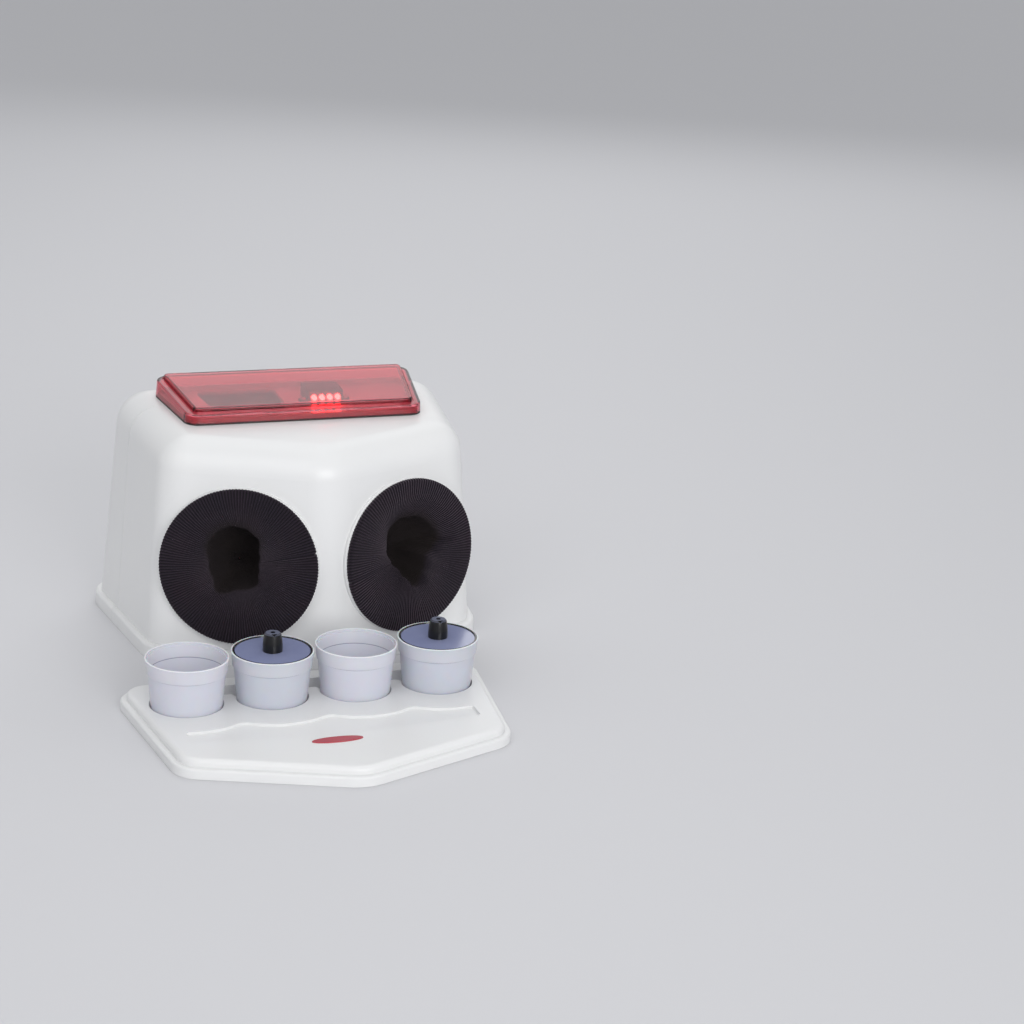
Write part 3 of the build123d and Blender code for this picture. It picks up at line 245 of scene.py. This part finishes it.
panel("key_panel", (-1.3, -1.6, 2.0), (0.0, 0.0, 0.1), 1.8, 12.0)
panel("front_panel", (0.3, -3.0, 1.0), (0.0, 0.0, 0.12), 1.6, 5.6, spread=60.0)
panel("top_panel", (0.2, 0.9, 2.2), (0.0, 0.1, 0.1), 1.6, 8.0)
panel("mirror_card", (1.2, 2.6, 1.9), (0.0, 0.15, 0.24), 2.4, 14.0)

world = bpy.data.worlds.new("studio")
bpy.context.scene.world = world
world.use_nodes = True
background = world.node_tree.nodes["Background"]
background.inputs["Color"].default_value = (0.86, 0.87, 0.89, 1.0)
background.inputs["Strength"].default_value = 0.66

bpy.ops.object.select_all(action="DESELECT")
bpy.ops.mesh.primitive_plane_add(size=40.0, location=(0.0, 0.0, -0.2 * MM))
floor = bpy.context.object
floor.name = "floor"
floor_finish = Finish("floor_paint", base_color=(0.66, 0.66, 0.68), roughness=0.7)
floor_finish.set(specular_ior_level=0.2)
floor.data.materials.append(floor_finish.material)

# %% [markdown]
# ## White moulded plastic
# Hood, tray and battery door are glossy white plastic. Such a surface is never quite flat: it has broad
# soft waves, and a fine orange peel that breaks up reflections. Both are bumps. The colour drifts by a
# few percent, and is a touch cooler where it is darker.
#
# Roughness stays above 0.28 here and on the other plainly glossy pieces, so that they shine softly and
# no patch of them turns into a mirror.

# %% White plastic
white = Finish("white_plastic", specular_ior_level=0.45)
drift = white.noise(90 * MM, detail=3.0)
grime = white.noise(18 * MM, detail=4.0)
waves = white.noise(35 * MM, detail=1.0)
peel = white.noise(1.1 * MM, detail=2.0)
white.set(
    base_color=white.tint(drift, (0.80, 0.80, 0.795), (0.765, 0.77, 0.775)),
    roughness=grime * 0.1 + 0.285,
    normal=white.bump(peel, 0.006 * MM, under=white.bump(waves, 0.3 * MM)),
)
paint(white, "front_shell", "rear_cover", "tray", "battery_door")

# %% [markdown]
# ## Red visor
# The visor is a clear acrylic dyed pinkish red. Light crosses the wall once on its way in and once on
# its way out, so the dye is mixed lighter than the red that the eye sees. Transmission with an index of
# 1.49 bends light as acrylic does, and very fine scratches and waves keep the gloss from being perfect.
#
# Steep walls are painted a deeper red, for the longer way light takes through the dye when a wall is
# seen edge-on. Darkest of all is the little step between the shoulder and the raised panel, painted
# near black as painted shade: there the sheet was drawn into a corner, and light runs along it instead
# of through it. The shoulder is a sloping plane, given by its height at the front and its slope, so the
# step is found as what is steep and lies above that plane.

# %% Red acrylic
SHOULDER_FRONT = 110.3 * MM
SHOULDER_HEIGHT = 224.7 * MM
SHOULDER_SLOPE = math.tan(math.radians(8.17))
ABOVE_SHOULDER = 0.6 * MM
acrylic = Finish("red_acrylic", transmission_weight=1.0, ior=1.49)
from_front = acrylic.axis(acrylic.place(), "Y") - SHOULDER_FRONT
from_shoulder = acrylic.axis(acrylic.place(), "Z") - (from_front * SHOULDER_SLOPE + SHOULDER_HEIGHT)
steep = acrylic.ramp(1.0 - acrylic.calculate("ABSOLUTE", acrylic.facing_up()), 0.3, 0.8)
# Steep walls get a deeper red: painted shade for a wall seen edge-on.
dye_and_edge_shade = acrylic.tint(steep, (0.85, 0.23, 0.28), (0.80, 0.17, 0.22))
rubbed = acrylic.noise(20 * MM, detail=5.0, rough=0.7)
acrylic.set(
    # The steep step above the shoulder is painted near black: painted shade.
    base_color=acrylic.tint(steep * (from_shoulder > ABOVE_SHOULDER), dye_and_edge_shade, (0.30, 0.03, 0.045)),
    roughness=rubbed ** 3.0 * 0.22 + 0.03,
    normal=acrylic.bump(acrylic.noise(50 * MM, detail=1.0), 0.5 * MM),
)
paint(acrylic, "visor")

# %% [markdown]
# ## Milky cups
# The cups are thin, unfilled plastic: the far rim shows faintly through the near wall. A diffuse milky
# body with a share of transparency does that more quietly than full transmission, which would turn them
# into glass. The height over the table tells their zones apart: the band under the rim, the step below
# it, painted as a dark line of shade, and the edge of the rim, painted pale as a highlight. The mould
# leaves faint turning marks round them, 1.2 mm apart: a sine of the same height.

# %% Milky plastic
BAND_FOOT = 46.8 * MM
STEP_HEIGHT = 0.8 * MM
CUP_RIM = 61.0 * MM
RIM_EDGE = 0.6 * MM
MARK_WAVE = 5200.0
milky = Finish("milky_plastic", roughness=0.34, subsurface_weight=0.25, subsurface_scale=4.0 * MM)
cup_height = milky.axis(milky.place(), "Z")
band = cup_height > BAND_FOOT
step_shade_line = band - (cup_height > BAND_FOOT + STEP_HEIGHT)
highlit_rim_edge = cup_height > CUP_RIM - RIM_EDGE
cloud = milky.noise(30 * MM)
milk = milky.tint(cloud, (0.79, 0.80, 0.88), (0.735, 0.745, 0.83))
milk = milky.tint(band, milk, (0.76, 0.77, 0.835))
# The step under the band is painted a dark line: painted shade.
milk = milky.tint(step_shade_line, milk, (0.34, 0.35, 0.44))
marks = milky.calculate("SINE", cup_height * MARK_WAVE)
milky.set(
    # The top of the rim is painted near white: a painted highlight.
    base_color=milky.tint(highlit_rim_edge, milk, (0.90, 0.90, 0.93)),
    alpha=cloud * 0.1 + 0.56 + band * 0.04 + highlit_rim_edge * 0.2,
    normal=milky.bump(marks, 0.012 * MM, under=milky.bump(milky.noise(12 * MM), 0.2 * MM)),
)
paint(milky, "cup_1", "cup_2", "cup_3", "cup_4")

# %% [markdown]
# ## Lids and knobs
# The lids are smoky slate plastic with a polished face. Handling leaves patches that are a little
# duller, so their roughness follows a blotchy noise. The knobs are jet black, with tops painted a
# lighter blue-grey as a painted highlight: the part of the surface that faces up is found from its
# normal.

# %% Lid and knob plastics
LID_FACE_RADIUS = 34.0 * MM


def lid_finish(number):
    """Smoky plastic, painted nearly black as shade in the raised ring round the edge."""
    smoky = Finish(f"smoky_plastic_{number}", coat_weight=0.6, coat_roughness=0.14)
    low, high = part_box(f"lid_{number}")
    centre = (low + high) / 2.0
    across = smoky.axis(smoky.place(), "X") - centre.x
    along = smoky.axis(smoky.place(), "Y") - centre.y
    radius = (across * across + along * along) ** 0.5
    face = smoky.tint(smoky.noise(20 * MM, detail=3.0), (0.23, 0.26, 0.44), (0.29, 0.32, 0.50))
    smoky.set(
        # The raised ring round the edge is painted nearly black: painted shade.
        base_color=smoky.tint(radius > LID_FACE_RADIUS, face, (0.01, 0.01, 0.014)),
        roughness=smoky.noise(15 * MM, detail=4.0) * 0.12 + 0.1,
        normal=smoky.bump(smoky.noise(20 * MM, detail=1.0), 0.15 * MM),
    )
    return smoky


paint(lid_finish(2), "lid_2")
paint(lid_finish(4), "lid_4")

jet = Finish("jet_plastic", coat_weight=0.15, coat_roughness=0.08, specular_ior_level=0.35)
jet.set(
    # Tops that face up are painted a lighter blue-grey: a painted highlight.
    base_color=jet.tint(jet.ramp(jet.facing_up(), 0.55, 0.9), (0.003, 0.003, 0.004), (0.13, 0.14, 0.2)),
    roughness=jet.noise(6 * MM, detail=4.0) * 0.1 + 0.285,
    normal=jet.bump(jet.noise(4 * MM, detail=1.0), 0.1 * MM),
)
paint(jet, "knob_2", "knob_4")

# %% [markdown]
# ## The small parts
# Each small part has one colour, and a roughness that drifts a little. Hoops, lamp housing, battery
# box, switch and lead clips are satin black. The seal and the leads are rubber, screws, springs and
# contacts steel, the cells' jackets dark blue, the lamp board green, the four diodes lit red resin and
# the oval badge plain red lacquer.


# %% Small finishes
def plain_finish(name, blotch, smoothest, span, detail=3.0, **sockets):
    """One colour. The roughness goes up by the span from its smoothest, in blotches of this size."""
    finish = Finish(name, **sockets)
    finish.set(roughness=finish.noise(blotch, detail=detail) * span + smoothest)
    return finish


satin = plain_finish("satin_black", 4 * MM, 0.38, 0.2, base_color=(0.016, 0.015, 0.017))
satin.set(normal=satin.bump(satin.noise(0.6 * MM, detail=1.0), 0.05 * MM))
paint(satin, "hoop_left", "hoop_right", "lamp_housing", "battery_box", "switch_body", "switch_rocker")
paint(satin, "lead_clips")

rubber = plain_finish("rubber", 3 * MM, 0.6, 0.15, base_color=(0.02, 0.019, 0.019))
rubber.set(specular_ior_level=0.3)
paint(rubber, "visor_seal", "lamp_lead", "switch_lead")

steel = plain_finish("steel", 1.2 * MM, 0.285, 0.2, base_color=(0.56, 0.56, 0.55), metallic=1.0)
paint(steel, "cover_screws", "hoop_screws", "lamp_screws", "battery_box_screws", "knob_screw_2")
paint(steel, "knob_screw_4", "battery_springs", "battery_contacts")

jacket = plain_finish("cell_jacket", 8 * MM, 0.285, 0.12, base_color=(0.03, 0.045, 0.09))
jacket.set(coat_weight=0.3)
paint(jacket, "battery_cells")

board = plain_finish("board", 2 * MM, 0.35, 0.2, base_color=(0.02, 0.14, 0.05), coat_weight=0.4)
paint(board, "led_board")

lit = plain_finish("lit_resin", 2 * MM, 0.1, 0.1, detail=2.0, base_color=(0.9, 0.12, 0.1))
lit.set(emission_color=(1.0, 0.09, 0.07), emission_strength=20.0)
paint(lit, "leds")

badge = plain_finish("badge_lacquer", 3 * MM, 0.285, 0.12, base_color=(0.40, 0.016, 0.035))
badge.set(coat_weight=0.3, coat_roughness=0.1)
paint(badge, "tray_badge")

# %% [markdown]
# ## Cuffs
# Each cuff is a tube of ribbed knit. One end is stretched over the hoop, the other is gathered round the
# wrist inside the hood. Stretched that wide, the knit lies almost flat over the hoop, its ribs fan out
# like spokes, and it dips to a loose mouth that no hand has straightened.
#
# It is one profile carried round a circle, so it starts as a ring of edges that is extruded inwards step
# by step, as one would by hand. The mouth isn't round: the nearer a ring lies to the mouth, the more it
# is pushed towards the mouth's own outline.
#
# A cuff is drawn lying flat, with its hoop's axis upright. The frame of an arm opening then puts it on
# its facet of the hood, 82.5 mm beside the hood's middle and 97.5 mm up. The facets turn outwards by 21
# degrees and lean back by 4.

# %% Where the cuffs sit
arm_tilt = math.radians(4.0)
facet_turn = math.radians(21.0)
hood_place = Vector((0.013464, -0.000707, 0.0))
arm_across = 82.5 * MM
arm_height = 97.5 * MM


def arm_frame(side):
    """The frame of one arm opening: X along the facet, Y up it and Z out of the hood."""
    along_facet = Vector((math.cos(facet_turn), side * math.sin(facet_turn), 0.0))
    outward = Vector(
        (
            side * math.sin(facet_turn) * math.cos(arm_tilt),
            -math.cos(facet_turn) * math.cos(arm_tilt),
            math.sin(arm_tilt),
        )
    )
    back = arm_across * math.tan(facet_turn) + arm_height * math.tan(arm_tilt) / math.cos(facet_turn)
    middle = hood_place + Vector((side * arm_across, back, arm_height))
    turn = Matrix((along_facet, outward.cross(along_facet), outward)).transposed()
    return Matrix.Translation(middle) @ turn.to_4x4()


for side in (-1, 1):
    print("arm opening at", [round(value, 4) for value in arm_frame(side).translation])

# %% [markdown]
# The profile lists radius and height off the facet, in millimetres: under the hoop's edge, over its
# rounded rim, across the flat face, over the lip of the mouth and along the sleeve, which narrows until
# it nearly closes. A few radii have names. Outside the rim radius the cloth lies round the hoop's edge,
# inside the free radius nothing holds it, at the lip it turns into the sleeve, and it ends at the wrist.
# The ribs grow finer inside the rib radius, and the folds inside the sleeve radius.

# %% Cuff profile
RIM_RADIUS = 74.0
FREE_RADIUS = 60.0
RIB_RADIUS = 40.0
LIP_RADIUS = 36.0
SLEEVE_RADIUS = 14.0
WRIST_RADIUS = 5.0
cuff_profile = [
    (75.0, 4.6), (75.3, 5.6), (75.4, 6.8), (75.2, 8.0), (74.6, 8.9), (73.6, 9.3), (72.0, 9.45),
    (69.5, 9.45), (66.5, 9.4), (63.5, 9.3), (61.0, 9.1), (58.0, 8.7), (55.0, 8.2), (52.0, 7.6),
    (49.0, 6.9), (46.0, 6.1), (43.0, 5.2), (40.5, 4.2), (38.4, 2.9), (36.9, 1.2), (35.9, -1.0),
    (35.3, -3.8), (34.8, -7.2), (34.2, -11.2), (33.2, -15.8), (31.6, -20.8), (29.2, -26.0),
    (26.0, -31.0), (22.0, -35.8), (17.4, -40.0), (12.6, -43.4), (8.4, -45.6), (5.0, -46.7),
    (2.4, -47.3), (0.8, -47.5),
]
print(len(cuff_profile), "rings, from", cuff_profile[0], "to", cuff_profile[-1])

# %% [markdown]
# No two mouths hang alike. Each is given by a few pairs of angle and radius round its edge: the left one
# is a slack trapezoid, the right one is pinched to a point at the bottom. Between the pairs the edge
# follows a cosine, so that it has no corner that a knit couldn't take.

# %% Mouth outlines
mouth_left = [
    (0, 18.0), (30, 21.0), (61, 30.0), (88, 34.0), (108, 37.0), (126, 38.0), (144, 37.0),
    (180, 30.0), (210, 30.0), (232, 35.5), (268, 25.0), (310, 26.0), (335, 20.0),
]
mouth_right = [
    (1, 36.0), (11, 43.0), (31, 41.0), (52, 39.0), (82, 34.0), (120, 31.0), (163, 25.0),
    (193, 20.0), (228, 17.0), (264, 24.0), (289, 38.0), (316, 31.0), (342, 27.0),
]


def mouth_radius(outline, angle):
    """Radius of the mouth's edge in a direction."""
    turn = math.degrees(angle) % 360.0
    around = outline + [(outline[0][0] + 360, outline[0][1])]
    if turn < outline[0][0]:
        turn += 360.0
    for (start, first), (end, second) in zip(around, around[1:]):
        if start <= turn <= end:
            share = (1.0 - math.cos(math.pi * (turn - start) / (end - start))) / 2.0
            return first + (second - first) * share
    return outline[-1][1]


for name, outline in (("left", mouth_left), ("right", mouth_right)):
    print(name, "mouth is", mouth_radius(outline, 0.0) + mouth_radius(outline, math.pi), "mm across")

# %% [markdown]
# The ring of edges has six spokes for each wale of the knit. After each extrusion the new ring is scaled
# to its own radius, and the length along the profile is kept for the map of the unrolled knit. The map
# counts turns round the cuff one way and stretches of 100 mm along the profile the other way.

# %% Rings and unrolled map
WALES = 156
CUFF_SPOKES = 6 * WALES
MAP_STRETCH = 100.0


def draw_cuff_rings(name):
    """The profile carried round a circle, ring by ring, and the length along it at each ring."""
    radius, lift = cuff_profile[0]
    bpy.ops.object.select_all(action="DESELECT")
    bpy.ops.mesh.primitive_circle_add(vertices=CUFF_SPOKES, radius=radius, location=(0, 0, lift))
    cuff = bpy.context.object
    cuff.name = name
    bpy.ops.object.transform_apply(location=True)
    bpy.ops.object.mode_set(mode="EDIT")
    bpy.ops.mesh.select_mode(type="EDGE")
    bpy.ops.mesh.select_all(action="SELECT")
    run = [0.0]
    for next_radius, next_lift in cuff_profile[1:]:
        bpy.ops.mesh.extrude_region_move(TRANSFORM_OT_translate={"value": (0, 0, next_lift - lift)})
        grow = next_radius / radius
        bpy.ops.transform.resize(value=(grow, grow, 1.0), center_override=(0, 0, next_lift))
        run.append(run[-1] + math.hypot(next_radius - radius, next_lift - lift))
        radius, lift = next_radius, next_lift
    bpy.ops.mesh.select_all(action="SELECT")
    bpy.ops.mesh.normals_make_consistent(inside=False)
    bpy.ops.object.mode_set(mode="OBJECT")
    return cuff, run


def map_knit(cuff, run):
    """Gives every corner its turn round the cuff and its length along the profile."""
    knit = cuff.data.uv_layers.new(name="knit")
    for polygon in cuff.data.polygons:
        turns = []
        for corner in polygon.vertices:
            place = cuff.data.vertices[corner].co
            turns.append(math.atan2(place.y, place.x) / math.tau % 1.0)
        wrap = max(turns) - min(turns) > 0.5
        for loop, corner, turn in zip(polygon.loop_indices, polygon.vertices, turns):
            whole_turn = 1.0 if wrap and turn < 0.5 else 0.0
            knit.data[loop].uv = (turn + whole_turn, run[corner // CUFF_SPOKES] / MAP_STRETCH)


# %% [markdown]
# A knit has no perfectly straight line either. Soft noise makes shallow gathers inside the hoop that
# deepen to puckers down the sleeve. The sleeve's weight draws the upper lip inwards and lets the lower
# one stand. The one sewn seam runs across the face as a small ridge and nicks the rim. The ribs are real
# too: they stand up on the face and outwards on the rim, so they are in the mesh and not only in the
# finish. All the heights and widths below are in millimetres.

# %% Shape one point
RIB_HEIGHT = 0.22
GATHER = 0.8
GATHERS = 5.0
PUCKER = 0.25
PUCKERS = 14.0
SLEEVE_PUCKER = 1.6
SEAM_WIDTH = 1.1
SEAM_RIDGE = 0.85
SEAM_NICK = 1.4
UPPER_LIP_SAG = 8.0
LOWER_LIP_RISE = 1.2


def smooth_step(start, end, value):
    """0 at the start and 1 at the end, with a soft curve between them."""
    share = min(max((value - start) / (end - start), 0.0), 1.0)
    return share * share * (3.0 - 2.0 * share)


def cuff_point(ring_radius, lift, angle, outline, seam_angle, seed):
    """Radius and height in millimetres of one point of the cloth, and how far it is down the sleeve."""
    free = smooth_step(FREE_RADIUS, LIP_RADIUS, ring_radius)
    inside = smooth_step(LIP_RADIUS, WRIST_RADIUS, ring_radius)
    face = 1.0 - inside
    rim = 1.0 if ring_radius > RIM_RADIUS else 0.0
    shape = 1.0 + (mouth_radius(outline, angle) / LIP_RADIUS - 1.0) * free * face

    around = Vector((math.cos(angle), math.sin(angle), 0.0))
    gather = noise.noise(around * GATHERS + Vector((0, 0, seed + lift * 0.02)))
    pucker = noise.noise(around * PUCKERS + Vector((0, 0, seed * 3.0 + lift * 0.03)))
    fold = gather * GATHER * free + pucker * (PUCKER * free + SLEEVE_PUCKER * inside)
    fold *= min(ring_radius / SLEEVE_RADIUS, 1.0)
    rib = RIB_HEIGHT * math.sin(WALES * angle) * min(ring_radius / RIB_RADIUS, 1.0)
    off_seam = math.remainder(angle - seam_angle, math.tau) * ring_radius
    seam = math.exp(-((off_seam / SEAM_WIDTH) ** 2)) * face
    sag = UPPER_LIP_SAG * max(around.y, 0.0) ** 2 - LOWER_LIP_RISE * min(around.y, 0.0) ** 2

    radius = ring_radius * shape + (fold + rib) * inside + (rib - seam * SEAM_NICK) * rim
    lift += (fold + rib * (1.0 - rim)) * face + seam * SEAM_RIDGE * (1.0 - rim) - sag * free * face
    return radius, lift, inside


# %% [markdown]
# Every point of the rings goes to its place, the deeper ones also sideways, because the sleeves hang
# down and outwards. The cloth then gets its thickness inwards, so that its outer face stays where it was
# drawn.

# %% Build a cuff
KNIT_THICKNESS = 1.1 * MM


def build_cuff(name, side, outline, sleeve_shift, seam_angle, seed):
    """Makes one cuff of knit and puts it in place of the CAD shell."""
    cuff, run = draw_cuff_rings(name)
    map_knit(cuff, run)
    for vertex in cuff.data.vertices:
        ring_radius, lift = cuff_profile[vertex.index // CUFF_SPOKES]
        angle = math.atan2(vertex.co.y, vertex.co.x)
        radius, lift, inside = cuff_point(ring_radius, lift, angle, outline, seam_angle, seed)
        vertex.co = (
            radius * math.cos(angle) + sleeve_shift[0] * inside,
            radius * math.sin(angle) + sleeve_shift[1] * inside,
            lift,
        )
    cuff.data.transform(arm_frame(side) @ Matrix.Scale(MM, 4))

    wall = cuff.modifiers.new("knit_thickness", "SOLIDIFY")
    wall.thickness = KNIT_THICKNESS
    wall.offset = -1.0
    bpy.ops.object.modifier_apply(modifier=wall.name)
    bpy.ops.object.shade_smooth()
    cuff.data.materials.append(knit_finish.material)

    which = "left" if side < 0 else "right"
    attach(cuff, "hood")
    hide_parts(f"cuff_{which}")


# %% [markdown]
# The knit is a rib: some hundred and fifty narrow wales round the rim, with short stitches across. Both
# are drawn from the unrolled map, so they fan out and close up with the cloth. The yarn is black with a
# trace of purple, painted darkest between the wales as shade in the grooves, and a little sheen stands
# for the fuzz. Past the lip of the mouth the yarn is painted brown-black with less sheen, as painted
# shade: the sleeve hangs in the dark, where fuzz catches no light. That is the second shader, and it
# takes over sooner at the top, where the lip overhangs.

# %% Knit finish
STITCHES = 95.0
knit_finish = Finish("rib_knit")


def knit_wave(value, count):
    """A wave from 0 to 1 with this many crests for each unit of the value."""
    return knit_finish.calculate("SINE", value * (count * math.tau)) * 0.5 + 0.5


unrolled = knit_finish.node("ShaderNodeUVMap", {"uv_map": "knit"})
turn_round = knit_finish.axis(unrolled, "X")
way_in = knit_finish.axis(unrolled, "Y")
fuzz = knit_finish.noise(1.2 * MM, detail=3.0)
fade = knit_finish.noise(30 * MM)
yarn = knit_wave(turn_round, WALES) ** 1.5 * 0.65 + knit_wave(way_in, STITCHES) * 0.1 + fuzz * 0.25
top = knit_finish.calculate("MAXIMUM", knit_finish.calculate("SINE", turn_round * math.tau), 0.0)
# From the lip inwards the second shader paints the sleeve dark: painted shade.
mouth_shade = knit_finish.ramp(way_in, 0.44 - top * 0.15, 0.53 - top * 0.02)
dye = knit_finish.tint(fade, (0.021, 0.018, 0.033), (0.035, 0.019, 0.029))
# Between the wales the colour is painted near black: painted shade in the grooves.
ribbed = knit_finish.tint(yarn * (fade * 0.4 + 0.6), (0.0016, 0.0014, 0.0024), dye)
cloth = {
    "roughness": fuzz * 0.15 + 0.8,
    "sheen_roughness": 0.5,
    "sheen_tint": (0.62, 0.5, 0.6),
    "normal": knit_finish.bump(yarn, 0.9 * MM),
}
knit_finish.set(base_color=ribbed, sheen_weight=0.19, specular_ior_level=0.2, **cloth)
# Brown-black with little sheen: painted shade inside the mouth.
painted_dark_sleeve = {"base_color": (0.024, 0.0195, 0.0185), "sheen_weight": 0.04, "specular_ior_level": 0.1}
knit_finish.take_over(mouth_shade, **painted_dark_sleeve, **cloth)
print(len(knit_finish.tree.nodes), "nodes in the knit")

# %% [markdown]
# The two cuffs mirror each other only roughly. Each has its own mouth and its own folds. Its sleeve
# hangs 6 mm outwards and down, and its seam runs nearly level across the side of the face that is
# turned to the other cuff.

# %% Both cuffs
build_cuff("cuff_knit_left", -1, mouth_left, (-6.0, -6.0), math.radians(13.0), 1.7)
build_cuff("cuff_knit_right", 1, mouth_right, (6.0, -6.0), math.radians(191.0), 6.3)
